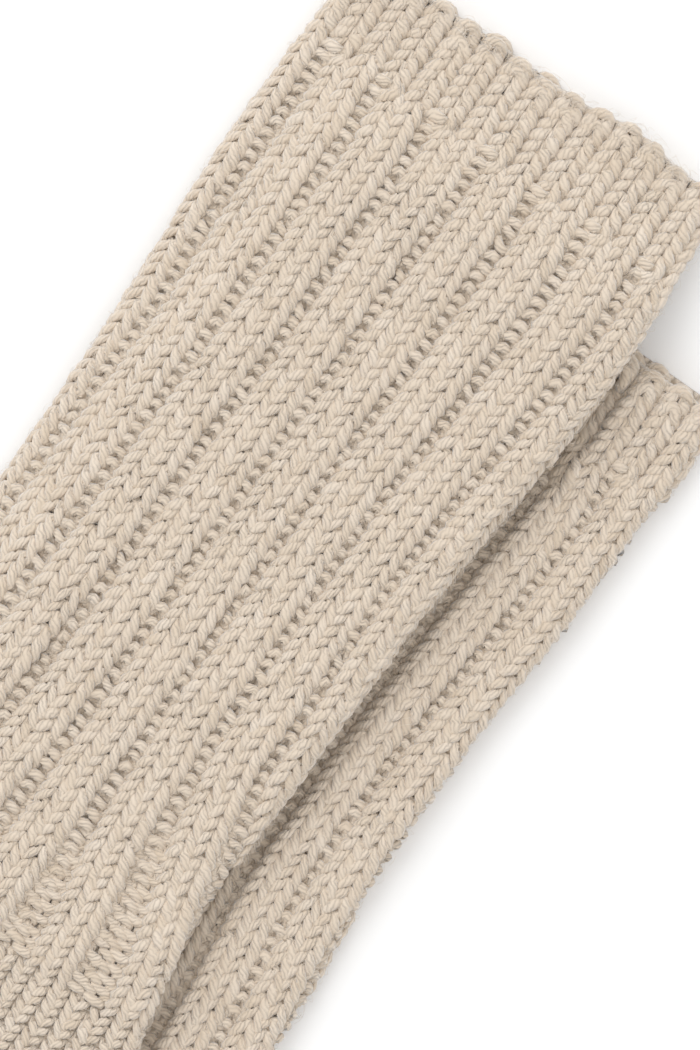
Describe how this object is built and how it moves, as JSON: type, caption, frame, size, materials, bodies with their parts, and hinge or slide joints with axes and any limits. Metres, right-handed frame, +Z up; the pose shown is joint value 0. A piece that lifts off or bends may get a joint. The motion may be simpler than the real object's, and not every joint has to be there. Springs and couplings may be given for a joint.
{
  "type": "pair of wool socks",
  "caption": "Pair of hand-knitted wool socks with ribbed legs and plain feet, laid flat with one sock on the other.",
  "frame": {"origin": "middle of the pair's bounding box, on the surface that the socks lie on", "axes": "+Y along the legs towards the cuffs, +X towards the heels, +Z up from the surface"},
  "size_m": [0.2274, 0.3576, 0.0129],
  "materials": {
    "lower_wool": "matt undyed wool, plied yarn",
    "upper_wool": "matt undyed wool, plied yarn"
  },
  "bodies": {
    "root": {"lower_sock": "lower_wool", "upper_sock": "upper_wool"}
  },
  "joints": []
}
